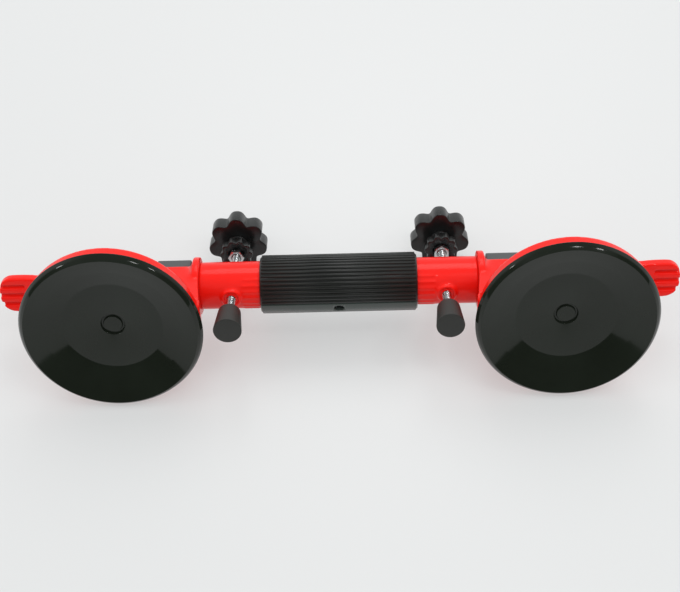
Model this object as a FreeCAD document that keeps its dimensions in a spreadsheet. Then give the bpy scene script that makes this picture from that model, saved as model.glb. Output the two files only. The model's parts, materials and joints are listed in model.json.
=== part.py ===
import FreeCAD, Part
import math
import os
from types import SimpleNamespace

import Sketcher

# Twin suction-cup lifter for floor tiles. Two lever-operated cups sit on the ends of a handle whose
# turned grip draws them together or apart, and a levelling screw with a rubber foot stands beside
# each cup. Lengths are millimetres.
#
# The tool frame has X along the handle, Z from the suction plane to the back of the tool, and its
# origin on the suction plane midway between the cups. Each half is drawn once, with X outward, and
# the left half is the right one turned half a turn about Z. The whole tool then lies as it is put
# down: leaning back on the rims of its cups and on its two star knobs, Z up.

Vector = FreeCAD.Vector
Placement = FreeCAD.Placement
Rotation = FreeCAD.Rotation

DRIVING_SIZES = [
    # suction disc: a dished rubber plate with a flat sealing land
    ("cup_spacing", 297.0),
    ("disc_radius", 60.0),
    ("lip_radius", 56.4),
    ("land_width", 3.0),
    ("edge_height", 4.3),
    ("edge_band", 0.6),
    ("land_rise", 0.3),
    ("dish_radius", 33.0),
    ("dish_height", 9.5),
    ("dish_top", 12.5),
    ("mark_radius", 6.8),
    ("mark_width", 1.0),
    ("mark_depth", 0.8),
    ("rubber_back", 17.0),
    ("rubber_back_radius", 30.0),
    # cup housing: rim, dome and the channelled block that carries lever and handle
    ("rim_overlap", 1.4),
    ("rim_top", 13.0),
    ("rim_round", 1.2),
    ("soft_gap", 0.3),
    ("shoulder_radius", 40.0),
    ("shoulder_height", 20.5),
    ("dome_radius", 28.0),
    ("dome_height", 25.0),
    ("block_half_width", 14.5),
    ("block_top", 58.0),
    ("block_corner", 3.0),
    ("shoulder_tuck", 3.6),
    ("block_outer_reach", 26.0),
    ("channel_half_width", 12.0),
    ("channel_floor", 46.0),
    ("neck_face_x", 93.9),
    ("neck_draft", 3.5),
    # handle: collar, tubes and grip, all round the bar axis
    ("bar_height", 55.0),
    ("collar_radius", 19.7),
    ("collar_width", 4.6),
    ("collar_slope", 1.8),
    ("spigot_length", 11.0),
    ("tube_radius", 16.0),
    ("tube_bore", 12.0),
    ("tube_inner_end", 14.0),
    ("rib_length", 11.0),
    ("rib_setback", 0.6),
    ("rib_height", 0.5),
    ("rib_width", 1.3),
    ("rib_step_angle", 15.0),
    ("rib_count", 7),
    ("grip_length", 106.0),
    ("grip_radius", 19.9),
    ("grip_wall", 2.7),
    ("grip_flute_depth", 0.55),
    ("grip_flute_count", 54),
    ("grip_strip_angle", 32.0),
    ("grip_chamfer", 1.2),
    ("hole_radius", 3.75),
    ("hole_turn_angle", 28.4),
    ("hole_bottom_radius", 8.5),
    # adjusting gear inside the handle
    ("spindle_radius", 9.9),
    ("spindle_half_length", 41.0),
    ("spindle_flange_half_width", 7.5),
    ("thread_bush_length", 16.0),
    ("guide_radius", 5.95),
    ("guide_half_length", 62.8),
    ("guide_flat_width", 8.4),
    ("guide_flat_start", 43.0),
    ("guide_plug_inner", 49.5),
    ("guide_plug_length", 10.5),
    ("ring_radius", 8.5),
    ("ring_thickness", 1.0),
    ("ring_gap", 0.2),
    ("fixed_gap", 0.03),
    ("running_gap", 0.05),
    # pull stud and lever
    ("plate_radius", 24.0),
    ("plate_thickness", 2.5),
    ("plate_headroom", 0.9),
    ("plate_side_room", 1.5),
    ("stud_radius", 4.0),
    ("eye_radius", 7.0),
    ("eye_half_width", 4.0),
    ("eye_room", 1.2),
    ("hub_room", 1.5),
    ("pin_radius", 3.5),
    ("cam_reach", 14.0),
    ("cam_lift", 3.0),
    ("cam_toe", 9.0),
    ("cam_heel", 3.6),
    ("lever_setback", 2.4),
    ("lever_corner", 3.0),
    ("wear_plate_thickness", 2.0),
    ("lever_hub_half_width", 11.2),
    ("lever_slot_half_width", 4.4),
    ("lever_half_width", 13.5),
    ("lever_waist_half_width", 12.4),
    ("lever_waist_reach", 52.0),
    ("lever_length", 82.5),
    ("lever_hub_height", 7.2),
    ("lever_underside", 6.8),
    ("lever_tip_drop", 0.5),
    ("lever_tip_round", 10.0),
    ("tip_rib_pitch", 6.8),
    ("tip_groove_width", 2.4),
    ("tip_groove_depth", 2.6),
    ("tip_groove_length", 18.0),
    # pad in the channel, between collar and lever
    ("pad_top", 71.2),
    ("pad_outer_end", 24.0),
    ("pad_round", 2.0),
    # levelling screw
    ("screw_x", 72.5),
    ("screw_radius", 3.0),
    ("boss_radius", 6.5),
    ("boss_height", 1.3),
    ("cross_bush_radius", 4.5),
    ("foot_tip_height", 1.3),
    ("foot_tip_radius", 9.4),
    ("foot_top_radius", 7.6),
    ("foot_length", 23.0),
    ("foot_shoulder_round", 2.4),
    ("foot_socket_radius", 4.4),
    ("foot_socket_floor", 8.0),
    ("foot_socket_base", 3.0),
    ("knob_face_height", 106.7),
    ("knob_thickness", 13.5),
    ("knob_radius", 21.0),
    ("knob_lobe_count", 7),
    ("knob_scallop_radius", 7.0),
    ("knob_scallop_offset", 23.0),
    ("knob_lobe_round", 2.4),
    ("knob_hub_radius", 6.2),
    ("knob_hub_height", 1.2),
    ("knob_insert_radius", 4.3),
    ("knob_cap_wall", 2.5),
    ("wheel_face_height", 92.7),
    ("wheel_thickness", 7.0),
    ("wheel_radius", 11.3),
    ("wheel_flute_count", 12),
    ("wheel_flute_radius", 1.5),
    ("wheel_play", 0.15),
    ("nut_flats", 10.0),
    ("nut_thickness", 5.0),
    ("nut_stand_out", 3.8),
]

doc = FreeCAD.newDocument("TileLifter")
sheet = doc.addObject("Spreadsheet::Sheet", "Sizes")
for row, (alias, number) in enumerate(DRIVING_SIZES, start=1):
    sheet.set("A%d" % row, alias)
    sheet.set("B%d" % row, str(number))
    sheet.setAlias("B%d" % row, alias)
doc.recompute()


class Size:
    """A length that keeps both its number and the sheet expression that gives it."""

    def __init__(self, number, text):
        self.number = number
        self.text = text

    @staticmethod
    def of(value):
        return value if isinstance(value, Size) else Size(float(value), "(%r)" % float(value))

    def join(self, other, sign, number):
        return Size(number, "(%s %s %s)" % (self.text, sign, Size.of(other).text))

    def __add__(self, other):
        return self.join(other, "+", self.number + Size.of(other).number)

    def __sub__(self, other):
        return self.join(other, "-", self.number - Size.of(other).number)

    def __mul__(self, other):
        return self.join(other, "*", self.number * Size.of(other).number)

    def __truediv__(self, other):
        return self.join(other, "/", self.number / Size.of(other).number)

    def __neg__(self):
        return Size.of(0) - self

    def __float__(self):
        return float(self.number)


s = SimpleNamespace(**{
    alias: Size(float(sheet.get(alias)), "Sizes." + alias) for alias, number in DRIVING_SIZES
})

# Sizes that follow from the driving ones.
cup_x = s.cup_spacing / 2
half_a_nut_flat = 180 / 6
lever_rest_height = s.bar_height
deck_height = lever_rest_height - s.cam_reach
wear_plate_base = deck_height - s.wear_plate_thickness
rubber_rim = s.edge_height + s.edge_band
rim_bottom = rubber_rim + s.soft_gap
rim_radius = s.lip_radius + s.rim_overlap
plate_top = s.rubber_back + s.plate_thickness
cavity_top = plate_top + s.plate_headroom
neck_face = s.neck_face_x - cup_x
collar_back = neck_face + s.collar_width
channel_inner = collar_back + s.collar_slope + s.soft_gap
boss_bottom = s.bar_height - s.tube_radius - s.boss_height
boss_top = s.bar_height + s.tube_radius + s.boss_height
grip_half = s.grip_length / 2
grip_bore = s.grip_radius - s.grip_wall
foot_top = s.foot_tip_height + s.foot_length
knob_back_height = s.knob_face_height + s.knob_thickness

PIECES = []


def new_body(label):
    body = doc.addObject("PartDesign::Body", label)
    body.Label = label
    PIECES.append(body)
    return body


def new_sketch(body, plane_role, offset=None):
    """A sketch on one of the body's own origin planes, moved along the plane's normal."""
    sketch = body.newObject("Sketcher::SketchObject", body.Name + "Sketch")
    plane = [feature for feature in body.Origin.OriginFeatures if feature.Role == plane_role][0]
    sketch.AttachmentSupport = [(plane, "")]
    sketch.MapMode = "FlatFace"
    if offset is not None:
        sketch.setExpression("AttachmentOffset.Base.z", offset.text)
    return sketch


def hold(sketch, constraint, size):
    index = sketch.addConstraint(constraint)
    sketch.setExpression("Constraints[%d]" % index, Size.of(size).text)


def outline(sketch, points):
    """A closed outline of straight edges, every corner held by two sizes."""
    corners = [Vector(float(x), float(y), 0) for x, y in points]
    first = len(sketch.Geometry)
    count = len(corners)
    for index, corner in enumerate(corners):
        sketch.addGeometry(Part.LineSegment(corner, corners[(index + 1) % count]), False)
    for index in range(count):
        following = first + (index + 1) % count
        sketch.addConstraint(Sketcher.Constraint("Coincident", first + index, 2, following, 1))
    for index, (x, y) in enumerate(points):
        hold(sketch, Sketcher.Constraint("DistanceX", -1, 1, first + index, 1, float(x)), x)
        hold(sketch, Sketcher.Constraint("DistanceY", -1, 1, first + index, 1, float(y)), y)


def circle(sketch, x, y, radius):
    centre = Vector(float(x), float(y), 0)
    index = sketch.addGeometry(Part.Circle(centre, Vector(0, 0, 1), float(radius)), False)
    hold(sketch, Sketcher.Constraint("DistanceX", -1, 1, index, 3, float(x)), x)
    hold(sketch, Sketcher.Constraint("DistanceY", -1, 1, index, 3, float(y)), y)
    hold(sketch, Sketcher.Constraint("Radius", index, float(radius)), radius)


def axis_line(sketch, x1, y1, x2, y2):
    """A construction line that a revolution turns about; returns its name."""
    ends = Vector(float(x1), float(y1), 0), Vector(float(x2), float(y2), 0)
    index = sketch.addGeometry(Part.LineSegment(*ends), True)
    for end, x, y in ((1, x1, y1), (2, x2, y2)):
        hold(sketch, Sketcher.Constraint("DistanceX", -1, 1, index, end, float(x)), x)
        hold(sketch, Sketcher.Constraint("DistanceY", -1, 1, index, end, float(y)), y)
    return "Axis0"


def feature(body, kind, sketch, **values):
    item = body.newObject("PartDesign::" + kind, body.Name + kind)
    item.Profile = sketch
    for name, value in values.items():
        if isinstance(value, Size):
            item.setExpression(name, value.text)
        else:
            setattr(item, name, value)
    body.Tip = item
    doc.recompute()
    return item


def pad(body, sketch, length, symmetric=False, reverse=False):
    side = "Symmetric" if symmetric else "One side"
    return feature(body, "Pad", sketch, SideType=side, Length=length, Reversed=reverse)


def pocket(body, sketch, length, symmetric=False, reverse=False):
    before = body.Tip.Shape.Volume
    side = "Symmetric" if symmetric else "One side"
    item = feature(body, "Pocket", sketch, SideType=side, Length=length, Reversed=reverse)
    if item.Shape.Volume >= before:
        raise RuntimeError("nothing was cut from " + body.Label)
    return item


def revolution(body, sketch, axis="V_Axis"):
    return feature(body, "Revolution", sketch, ReferenceAxis=(sketch, [axis]), Angle=360.0)


def groove(body, sketch, axis="V_Axis"):
    before = body.Tip.Shape.Volume
    item = feature(body, "Groove", sketch, ReferenceAxis=(sketch, [axis]), Angle=360.0)
    if item.Shape.Volume >= before:
        raise RuntimeError("nothing was cut from " + body.Label)
    return item


def polar(body, original, count, axis_role="Z_Axis"):
    axis = [item for item in body.Origin.OriginFeatures if item.Role == axis_role][0]
    item = body.newObject("PartDesign::PolarPattern", body.Name + "Pattern")
    item.Originals = [original]
    item.Axis = (axis, [""])
    item.Angle = 360.0
    item.setExpression("Occurrences", count.text)
    body.Tip = item
    doc.recompute()
    return item


def fillet(body, radius, wanted):
    """Rounds the edges of the body that the test picks."""
    base = body.Tip
    edges = base.Shape.Edges
    names = ["Edge%d" % (index + 1) for index, edge in enumerate(edges) if wanted(edge)]
    item = body.newObject("PartDesign::Fillet", body.Name + "Fillet")
    item.Base = (base, names)
    item.setExpression("Radius", Size.of(radius).text)
    body.Tip = item
    doc.recompute()
    return item


def near(first, second):
    return abs(float(first) - float(second)) < 0.01


def runs_along(edge, direction):
    if not isinstance(edge.Curve, Part.Line):
        return False
    start, end = edge.Vertexes[0].Point, edge.Vertexes[-1].Point
    return (end - start).normalize().cross(direction).Length < 0.01


def cylinder(label, radius, height, centre, axis=Vector(0, 0, 1)):
    """A plain cylinder that starts at centre and runs along axis."""
    item = doc.addObject("Part::Cylinder", label)
    item.setExpression("Radius", Size.of(radius).text)
    item.setExpression("Height", Size.of(height).text)
    base = Vector(*[float(value) for value in centre])
    item.Placement = Placement(base, Rotation(Vector(0, 0, 1), axis))
    return item


def box(label, size_x, size_y, size_z, corner):
    item = doc.addObject("Part::Box", label)
    item.setExpression("Length", Size.of(size_x).text)
    item.setExpression("Width", Size.of(size_y).text)
    item.setExpression("Height", Size.of(size_z).text)
    item.Placement = Placement(Vector(*[float(value) for value in corner]), Rotation())
    return item


def hexagon_prism(label, flats, height, centre):
    item = doc.addObject("Part::Prism", label)
    item.Polygon = 6
    item.setExpression("Circumradius", (flats / math.sqrt(3)).text)
    item.setExpression("Height", Size.of(height).text)
    item.Placement = Placement(Vector(*[float(value) for value in centre]), Rotation())
    return item


def cut(label, base, tool):
    item = doc.addObject("Part::Cut", label)
    item.Base = base
    item.Tool = tool
    item.Label = label
    return item


def fuse(label, *shapes):
    item = doc.addObject("Part::MultiFuse", label)
    item.Shapes = list(shapes)
    item.Refine = True
    item.Label = label
    return item


def piece(item):
    PIECES.append(item)
    return item


X = Vector(1, 0, 0)
Y = Vector(0, 1, 0)
Z = Vector(0, 0, 1)


def suction_disc(label):
    """Moulded rubber disc, dished in front, bevelled to its widest edge, with a ring at its middle."""
    body = new_body(label)
    sketch = new_sketch(body, "XZ_Plane")
    land = s.lip_radius - s.land_width
    outline(sketch, [
        (0, s.dish_top),
        (s.dish_radius, s.dish_height),
        (land, 0),
        (s.lip_radius, 0),
        (s.disc_radius, s.edge_height),
        (s.disc_radius - s.soft_gap, rubber_rim),
        (s.lip_radius - s.land_width / 2, rubber_rim + s.land_rise),
        (s.rubber_back_radius, s.rubber_back),
        (0, s.rubber_back),
    ])
    revolution(body, sketch)
    mark = new_sketch(body, "XZ_Plane")
    outline(mark, [
        (s.mark_radius, s.dish_height),
        (s.mark_radius + s.mark_width, s.dish_height),
        (s.mark_radius + s.mark_width, s.dish_top + s.mark_depth),
        (s.mark_radius, s.dish_top + s.mark_depth),
    ])
    groove(body, mark)
    return body


def cup_housing(label):
    """Painted housing: rim and dome over the disc, and the block with channel, collar and spigot."""
    body = new_body(label)
    shell = new_sketch(body, "XZ_Plane")
    roof_radius = s.plate_radius + s.plate_side_room
    underside_radius = s.lip_radius - s.land_width / 2
    outline(shell, [
        (0, cavity_top),
        (roof_radius, cavity_top),
        (roof_radius, s.rubber_back + s.soft_gap),
        (s.rubber_back_radius + s.soft_gap, s.rubber_back + s.soft_gap),
        (underside_radius + s.soft_gap, rubber_rim + s.soft_gap + s.land_rise),
        (rim_radius, rim_bottom),
        (rim_radius, s.rim_top),
        (rim_radius - s.rim_round, s.rim_top + s.rim_round),
        (s.shoulder_radius, s.shoulder_height),
        (s.dome_radius, s.dome_height),
        (0, s.dome_height),
    ])
    revolution(body, shell)
    side = new_sketch(body, "XZ_Plane")
    wall_core = (s.dome_height + cavity_top) / 2
    outline(side, [
        (neck_face - s.neck_draft, (rim_bottom + s.rim_top) / 2),
        (neck_face, s.bar_height - s.tube_radius),
        (neck_face, s.block_top),
        (s.block_outer_reach - s.block_corner, s.block_top),
        (s.block_outer_reach, s.block_top - s.block_corner),
        (s.block_outer_reach, wall_core),
        (-s.dome_radius, wall_core),
        (-s.shoulder_radius, s.shoulder_height - s.shoulder_tuck),
    ])
    pad(body, side, s.block_half_width * 2, symmetric=True)
    collar = new_sketch(body, "XZ_Plane")
    outline(collar, [
        (neck_face - s.spigot_length, s.bar_height),
        (neck_face - s.spigot_length, s.bar_height + s.tube_bore - s.fixed_gap),
        (neck_face, s.bar_height + s.tube_bore - s.fixed_gap),
        (neck_face, s.bar_height + s.collar_radius),
        (collar_back, s.bar_height + s.collar_radius),
        (collar_back + s.collar_slope, s.bar_height + s.tube_bore),
        (collar_back + s.collar_slope, s.bar_height),
    ])
    name = axis_line(collar, neck_face, s.bar_height, collar_back, s.bar_height)
    revolution(body, collar, name)
    channel = new_sketch(body, "XZ_Plane")
    over_top = s.bar_height + s.collar_radius
    hub_inner = -(s.cam_reach + s.hub_room)
    outline(channel, [
        (channel_inner, s.channel_floor),
        (channel_inner, over_top),
        (s.block_outer_reach + s.soft_gap, over_top),
        (s.block_outer_reach + s.soft_gap, wear_plate_base),
        (hub_inner, wear_plate_base),
        (hub_inner, s.channel_floor),
    ])
    pocket(body, channel, s.channel_half_width * 2, symmetric=True)
    stud_bore = new_sketch(body, "XY_Plane")
    circle(stud_bore, 0, 0, s.stud_radius + s.running_gap)
    pocket(body, stud_bore, wear_plate_base + 1, reverse=True)
    return body


def disc_plate(label):
    """Steel plate bonded to the back of the disc."""
    return piece(cylinder(label, s.plate_radius, s.plate_thickness, (0, 0, s.rubber_back)))


def pull_stud(label):
    """Turned stud welded to the plate, with a flat eye for the lever pin."""
    body = new_body(label)
    shank = new_sketch(body, "XY_Plane", plate_top)
    circle(shank, 0, 0, s.stud_radius)
    pad(body, shank, lever_rest_height - plate_top)
    eye = new_sketch(body, "XZ_Plane")
    circle(eye, 0, lever_rest_height, s.eye_radius)
    pad(body, eye, s.eye_half_width * 2, symmetric=True)
    stem = new_sketch(body, "XZ_Plane")
    eye_base = deck_height + s.cam_lift + s.plate_headroom
    outline(stem, [
        (-s.eye_radius, lever_rest_height),
        (-s.stud_radius, eye_base),
        (s.stud_radius, eye_base),
        (s.eye_radius, lever_rest_height),
    ])
    pad(body, stem, s.eye_half_width * 2, symmetric=True)
    hole = new_sketch(body, "XZ_Plane")
    circle(hole, 0, lever_rest_height, s.pin_radius + s.running_gap)
    pocket(body, hole, s.eye_half_width * 4, symmetric=True)
    return body


def wear_plate(label):
    """Hardened plate that the lever's cams slide on, let into the channel."""
    length = s.cam_reach * 2
    width = s.channel_half_width * 2 - s.fixed_gap * 2
    corner = (-s.cam_reach, -s.channel_half_width + s.fixed_gap, wear_plate_base)
    plate = box(label + "_blank", length, width, s.wear_plate_thickness, corner)
    hole = cylinder(label + "_hole", s.stud_radius + s.soft_gap, s.wear_plate_thickness * 3,
                    (0, 0, wear_plate_base - s.wear_plate_thickness))
    return piece(cut(label, plate, hole))


def cam_points():
    """Corners of the cam from flat toe to inner side: an involute, so its lift is even in angle."""
    steps = 9
    points = []
    for step in range(steps + 1):
        turn = math.pi / 2 * step / steps
        reach = s.cam_reach - s.running_gap - s.cam_lift * (step / steps)
        rate = s.cam_lift * (2 / math.pi)
        x = rate * math.cos(turn) - reach * math.sin(turn)
        z = -(reach * math.cos(turn)) - rate * math.sin(turn)
        points.append((x, z))
    return points


def lever(label):
    """Lever with two cam cheeks over the stud's eye and a broad, ribbed finger tip."""
    body = new_body(label)
    hub = new_sketch(body, "XZ_Plane")
    inner = s.cam_reach - s.cam_lift
    join = s.block_outer_reach + s.lever_setback
    hub_points = [(s.cam_toe, -(s.cam_reach - s.running_gap))] + cam_points() + [
        (-inner, s.lever_hub_height - s.lever_corner),
        (-inner + s.lever_corner, s.lever_hub_height),
        (join, s.lever_hub_height),
        (join, -s.lever_underside),
        (s.cam_toe + s.cam_heel, -s.lever_underside),
    ]
    outline(hub, hub_points)
    pad(body, hub, s.lever_hub_half_width * 2, symmetric=True)
    arm = new_sketch(body, "XZ_Plane")
    outline(arm, [
        (join - s.soft_gap, s.lever_hub_height),
        (join - s.soft_gap, -s.lever_underside),
        (s.lever_length, -s.lever_underside),
        (s.lever_length, -s.lever_tip_drop),
        (s.lever_waist_reach, -s.lever_tip_drop),
    ])
    pad(body, arm, s.lever_half_width * 2, symmetric=True)
    waist = new_sketch(body, "XY_Plane", -s.cam_reach)
    for hand in (-1, 1):
        outline(waist, [
            (join, s.lever_half_width * 2 * hand),
            (join, s.lever_hub_half_width * hand),
            (s.lever_waist_reach, s.lever_waist_half_width * hand),
            (s.lever_length - s.tip_groove_length, s.lever_half_width * hand),
            (s.lever_length - s.tip_groove_length, s.lever_half_width * 2 * hand),
        ])
    pocket(body, waist, s.cam_reach * 2, reverse=True)
    fillet(body, s.lever_tip_round, lambda edge: runs_along(edge, Z)
           and near(edge.Vertexes[0].X, s.lever_length))
    slot = new_sketch(body, "XZ_Plane")
    outline(slot, [
        (-s.cam_reach * 2, -s.cam_reach * 2),
        (s.eye_radius + s.eye_room, -s.cam_reach * 2),
        (s.eye_radius + s.eye_room, s.cam_reach * 2),
        (-s.cam_reach * 2, s.cam_reach * 2),
    ])
    pocket(body, slot, s.lever_slot_half_width * 2, symmetric=True)
    hole = new_sketch(body, "XZ_Plane")
    circle(hole, 0, 0, s.pin_radius + s.fixed_gap)
    pocket(body, hole, s.lever_half_width * 4, symmetric=True)
    grooves = new_sketch(body, "XY_Plane", -s.lever_underside)
    start = s.lever_length - s.tip_groove_length
    for place in (-1, 0, 1):
        middle = s.tip_rib_pitch * place
        low = middle - s.tip_groove_width / 2
        high = middle + s.tip_groove_width / 2
        outline(grooves, [
            (start, low), (s.lever_length + 1, low), (s.lever_length + 1, high), (start, high),
        ])
    pocket(body, grooves, s.tip_groove_depth, reverse=True)
    return body


def lever_pin(label):
    """Steel pin through cheeks and eye, kept in by the channel walls."""
    half = s.lever_hub_half_width
    start = (0, -half, 0)
    return piece(cylinder(label, s.pin_radius, half * 2, start, Y))


def neck_pad(label):
    """Moulded pad that fills the channel between collar and lever."""
    body = new_body(label)
    side = new_sketch(body, "XZ_Plane")
    outer = -s.pad_outer_end
    inner = channel_inner + s.soft_gap
    outline(side, [
        (inner, s.channel_floor),
        (inner, s.pad_top),
        (outer, s.pad_top),
        (outer, s.channel_floor),
    ])
    pad(body, side, (s.channel_half_width - s.soft_gap) * 2, symmetric=True)
    fillet(body, s.pad_round, lambda edge: all(near(v.Z, s.pad_top) for v in edge.Vertexes))
    return body


def handle_tube(label):
    """Tube from the grip to the collar, bossed for the levelling screw and ribbed underneath."""
    body = new_body(label)
    bore = new_sketch(body, "XZ_Plane")
    outline(bore, [
        (s.tube_inner_end, s.bar_height + s.tube_bore),
        (s.neck_face_x, s.bar_height + s.tube_bore),
        (s.neck_face_x, s.bar_height + s.tube_radius),
        (s.tube_inner_end, s.bar_height + s.tube_radius),
    ])
    revolution(body, bore, axis_line(bore, s.tube_inner_end, s.bar_height,
                                     s.neck_face_x, s.bar_height))
    boss = new_sketch(body, "XY_Plane", boss_bottom)
    circle(boss, s.screw_x, 0, s.boss_radius)
    pad(body, boss, boss_top - boss_bottom)
    hollow = new_sketch(body, "YZ_Plane", s.tube_inner_end)
    circle(hollow, 0, s.bar_height, s.tube_bore)
    pocket(body, hollow, s.neck_face_x - s.tube_inner_end, reverse=True)
    cross = new_sketch(body, "XY_Plane", boss_bottom - 1)
    circle(cross, s.screw_x, 0, s.cross_bush_radius)
    pocket(body, cross, boss_top - boss_bottom + 2, reverse=True)
    ribs = new_sketch(body, "YZ_Plane", grip_half + s.rib_setback)
    count = int(float(s.rib_count))
    for index in range(count):
        turn = math.radians(float(s.rib_step_angle) * (index - (count - 1) / 2))
        across = Vector(math.cos(turn), math.sin(turn), 0)
        down = Vector(math.sin(turn), -math.cos(turn), 0)
        corners = []
        for side, reach in ((-0.5, s.tube_radius - 1), (0.5, s.tube_radius - 1),
                            (0.35, s.tube_radius + s.rib_height),
                            (-0.35, s.tube_radius + s.rib_height)):
            corners.append((s.rib_width * (side * across.x) + reach * down.x,
                            s.rib_width * (side * across.y) + reach * down.y + s.bar_height))
        outline(ribs, corners)
    pad(body, ribs, s.rib_length)
    return body


def ring_piece(label, outer, inner, start, length):
    """A bush round the bar axis."""
    outside = cylinder(label + "_outside", outer, length, (start, 0, s.bar_height), X)
    inside = cylinder(label + "_inside", inner, length * 3,
                      (start - length, 0, s.bar_height), X)
    return piece(cut(label, outside, inside))


def guide_plug(label):
    """Disc with a square hole that keys the tube to the guide bar."""
    start = s.guide_plug_inner
    length = s.guide_plug_length
    disc = cylinder(label + "_disc", s.tube_bore - s.fixed_gap, length,
                    (start, 0, s.bar_height), X)
    flat = s.guide_flat_width + s.running_gap * 2
    hole = box(label + "_hole", length * 3, flat, flat,
               (start - length, -(flat / 2), s.bar_height - flat / 2))
    return piece(cut(label, disc, hole))


def cross_bush(label):
    """Threaded steel bush through both bosses of the tube."""
    outside = cylinder(label + "_outside", s.cross_bush_radius - s.fixed_gap,
                       boss_top - boss_bottom, (s.screw_x, 0, boss_bottom))
    inside = cylinder(label + "_inside", s.screw_radius + s.running_gap,
                      boss_top - boss_bottom + 2, (s.screw_x, 0, boss_bottom - 1))
    return piece(cut(label, outside, inside))


def foot(label):
    """Tapered rubber foot with a rounded shoulder, moulded round its socket."""
    body = new_body(label)
    sketch = new_sketch(body, "XZ_Plane")
    socket = s.foot_socket_radius + s.fixed_gap
    floor = s.foot_tip_height + s.foot_socket_floor - s.foot_socket_base
    outline(sketch, [
        (0, s.foot_tip_height),
        (s.foot_tip_radius, s.foot_tip_height),
        (s.foot_top_radius, foot_top - s.foot_shoulder_round),
        (s.foot_top_radius - s.foot_shoulder_round, foot_top),
        (socket, foot_top),
        (socket, floor),
        (0, floor),
    ])
    revolution(body, sketch)
    return body


def foot_socket(label):
    """Steel socket in the foot that the screw's end turns in."""
    base = s.foot_tip_height + s.foot_socket_floor - s.foot_socket_base
    outside = cylinder(label + "_outside", s.foot_socket_radius, foot_top - base, (0, 0, base))
    inside = cylinder(label + "_inside", s.screw_radius + s.running_gap, foot_top,
                      (0, 0, base + s.foot_socket_base))
    return piece(cut(label, outside, inside))


def level_screw(label):
    """Threaded rod from the foot's socket up into the star knob."""
    start = s.foot_tip_height + s.foot_socket_floor + s.running_gap
    length = knob_back_height - s.knob_cap_wall - s.soft_gap - start
    return piece(cylinder(label, s.screw_radius, length, (0, 0, start)))


def star_knob(label):
    """Seven-lobed knob: a disc scalloped round its edge, with a hub round the screw."""
    body = new_body(label)
    disc = new_sketch(body, "XY_Plane", s.knob_face_height)
    circle(disc, 0, 0, s.knob_radius)
    pad(body, disc, s.knob_thickness)
    scallop = new_sketch(body, "XY_Plane", s.knob_face_height - 1)
    turn = math.pi / float(s.knob_lobe_count) - math.pi / 2
    circle(scallop, s.knob_scallop_offset * math.cos(turn),
           s.knob_scallop_offset * math.sin(turn), s.knob_scallop_radius)
    scoop = pocket(body, scallop, s.knob_thickness + 2, reverse=True)
    polar(body, scoop, s.knob_lobe_count)
    fillet(body, s.knob_lobe_round, lambda edge: runs_along(edge, Z)
           and near(math.hypot(edge.Vertexes[0].X, edge.Vertexes[0].Y), s.knob_radius))
    hub = new_sketch(body, "XY_Plane", s.knob_face_height - s.knob_hub_height)
    circle(hub, 0, 0, s.knob_hub_radius)
    pad(body, hub, s.knob_hub_height + 1)
    bore = new_sketch(body, "XY_Plane", s.knob_face_height - s.knob_hub_height - 1)
    circle(bore, 0, 0, s.knob_insert_radius)
    pocket(body, bore, s.knob_thickness + s.knob_hub_height - s.knob_cap_wall + 1, reverse=True)
    return body


def knob_insert(label):
    """Brass insert moulded into the knob."""
    base = s.knob_face_height - s.knob_hub_height
    length = s.knob_thickness + s.knob_hub_height - s.knob_cap_wall
    outside = cylinder(label + "_outside", s.knob_insert_radius - s.fixed_gap, length, (0, 0, base))
    inside = cylinder(label + "_inside", s.screw_radius + s.fixed_gap, length * 2,
                      (0, 0, base - 1))
    return piece(cut(label, outside, inside))


def lock_wheel(label):
    """Fluted plastic wheel with a pocket for the lock nut."""
    body = new_body(label)
    disc = new_sketch(body, "XY_Plane", s.wheel_face_height)
    circle(disc, 0, 0, s.wheel_radius)
    pad(body, disc, s.wheel_thickness)
    flute = new_sketch(body, "XY_Plane", s.wheel_face_height - 1)
    circle(flute, 0, s.wheel_radius + s.wheel_flute_radius * 0.45, s.wheel_flute_radius)
    notch = pocket(body, flute, s.wheel_thickness + 2, reverse=True)
    polar(body, notch, s.wheel_flute_count)
    seat = new_sketch(body, "XY_Plane", s.wheel_face_height - 1)
    corner = (s.nut_flats / 2 + s.fixed_gap) * (2 / math.sqrt(3))
    outline(seat, [(corner * math.cos(math.radians(60 * index)),
                    corner * math.sin(math.radians(60 * index))) for index in range(6)])
    pocket(body, seat, s.nut_thickness - s.nut_stand_out + s.fixed_gap + 1, reverse=True)
    bore = new_sketch(body, "XY_Plane", s.wheel_face_height - 1)
    circle(bore, 0, 0, s.screw_radius + s.wheel_play)
    pocket(body, bore, s.wheel_thickness + 2, reverse=True)
    return body


def lock_nut(label):
    """Steel hexagon nut seated in the lock wheel."""
    base = s.wheel_face_height - s.nut_stand_out
    blank = hexagon_prism(label + "_blank", s.nut_flats, s.nut_thickness, (0, 0, base))
    thread = cylinder(label + "_thread", s.screw_radius + s.running_gap, s.nut_thickness * 3,
                      (0, 0, base - s.nut_thickness))
    return piece(cut(label, blank, thread))


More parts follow.
